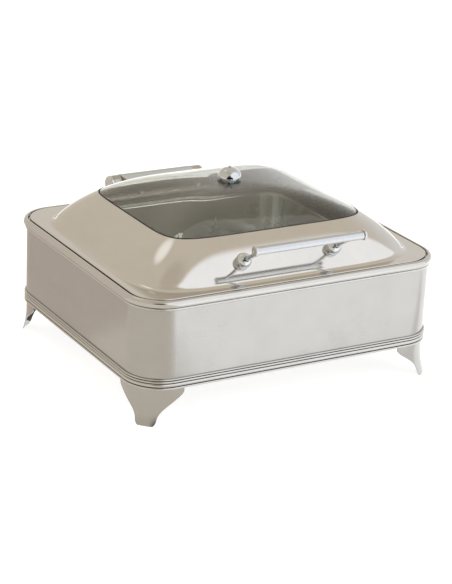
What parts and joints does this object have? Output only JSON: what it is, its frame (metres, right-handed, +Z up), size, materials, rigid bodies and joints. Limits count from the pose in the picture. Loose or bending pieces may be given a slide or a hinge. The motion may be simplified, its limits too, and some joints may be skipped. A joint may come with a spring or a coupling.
{
  "type": "roll top chafer",
  "caption": "Rectangular chafing dish with rounded corners: skirted stand on bracket feet, food and water pans, and a hinged domed lid with a glass window, steam vent and bar handle.",
  "frame": {"origin": "middle of the footprint, on the table plane", "axes": "+X to the right seen from the handle side, +Y from the handle to the hinge, +Z up"},
  "size_m": [0.459, 0.4442, 0.2693],
  "materials": {
    "polished_steel": "mirror-polished stainless steel",
    "brushed_steel": "satin stainless steel",
    "chrome": "bright chrome plate",
    "satin_aluminium": "satin aluminium",
    "spring_steel": "dark spring steel",
    "nylon": "natural nylon",
    "gasket_rubber": "black silicone",
    "window_glass": "clear tempered glass"
  },
  "bodies": {
    "stand": {"body_skirt": "polished_steel", "top_rim": "polished_steel", "base_moulding": "polished_steel", "foot_front_left": "polished_steel", "foot_front_right": "polished_steel", "foot_rear_left": "polished_steel", "foot_rear_right": "polished_steel", "deck_frame": "brushed_steel", "burner_rail": "brushed_steel", "hinge_bracket_left": "brushed_steel", "hinge_bracket_right": "brushed_steel", "foot_screw_front_left": "chrome", "foot_screw_front_right": "chrome", "foot_screw_rear_left": "chrome", "foot_screw_rear_right": "chrome", "bracket_screw_lower_left": "chrome", "bracket_screw_lower_right": "chrome", "bracket_screw_upper_left": "chrome", "bracket_screw_upper_right": "chrome", "hinge_cap_left": "chrome", "hinge_cap_right": "chrome", "hinge_shaft": "spring_steel", "hinge_spring": "spring_steel"},
    "lid": {"hinge_leaf": "polished_steel", "hinge_bushing_left": "nylon", "hinge_bushing_right": "nylon", "leaf_rivet_left": "chrome", "leaf_rivet_right": "chrome", "lid_shell": "polished_steel", "window_gasket": "gasket_rubber", "glass_window": "window_glass", "vent_seat": "chrome", "vent_nut": "chrome", "handle_ball_left": "chrome", "handle_ball_right": "chrome", "handle_post_left": "chrome", "handle_post_right": "chrome", "handle_nut_left": "chrome", "handle_nut_right": "chrome", "handle_end_cap_left": "chrome", "handle_end_cap_right": "chrome", "handle_bar": "satin_aluminium"},
    "vent": {"vent_cap": "chrome"},
    "water_pan": {"water_pan": "brushed_steel"},
    "food_pan": {"food_pan": "brushed_steel"},
    "fuel_holder_left": {"fuel_holder_left": "brushed_steel", "snuffer_pivot_left": "chrome"},
    "fuel_holder_right": {"fuel_holder_right": "brushed_steel", "snuffer_pivot_right": "chrome"},
    "snuffer_left": {"snuffer_cover_left": "brushed_steel"},
    "snuffer_right": {"snuffer_cover_right": "brushed_steel"}
  },
  "joints": [
    {"name": "lid_hinge", "type": "hinge", "parent": "stand", "child": "lid", "pos_m": [0, 0.2091, 0.187], "axis": [-1, 0, 0], "range_deg": [0, 92]},
    {"name": "vent_cap_turn", "type": "hinge", "parent": "lid", "child": "vent", "pos_m": [0, -0.0042, 0.255], "axis": [0, 0, 1], "continuous": true},
    {"name": "water_pan_lift", "type": "slide", "parent": "stand", "child": "water_pan", "axis": [0, 0, 1], "range_m": [0, 0.003]},
    {"name": "food_pan_lift", "type": "slide", "parent": "water_pan", "child": "food_pan", "axis": [0, 0, 1], "range_m": [0, 0.005]},
    {"name": "fuel_holder_lift_left", "type": "slide", "parent": "stand", "child": "fuel_holder_left", "axis": [0, 0, 1], "range_m": [0, 0.02]},
    {"name": "fuel_holder_lift_right", "type": "slide", "parent": "stand", "child": "fuel_holder_right", "axis": [0, 0, 1], "range_m": [0, 0.02]},
    {"name": "snuffer_swing_left", "type": "hinge", "parent": "fuel_holder_left", "child": "snuffer_left", "pos_m": [-0.095, 0.046, 0.0557], "axis": [0, 0, -1], "range_deg": [0, 100]},
    {"name": "snuffer_swing_right", "type": "hinge", "parent": "fuel_holder_right", "child": "snuffer_right", "pos_m": [0.095, 0.046, 0.0557], "axis": [0, 0, 1], "range_deg": [0, 100]}
  ]
}
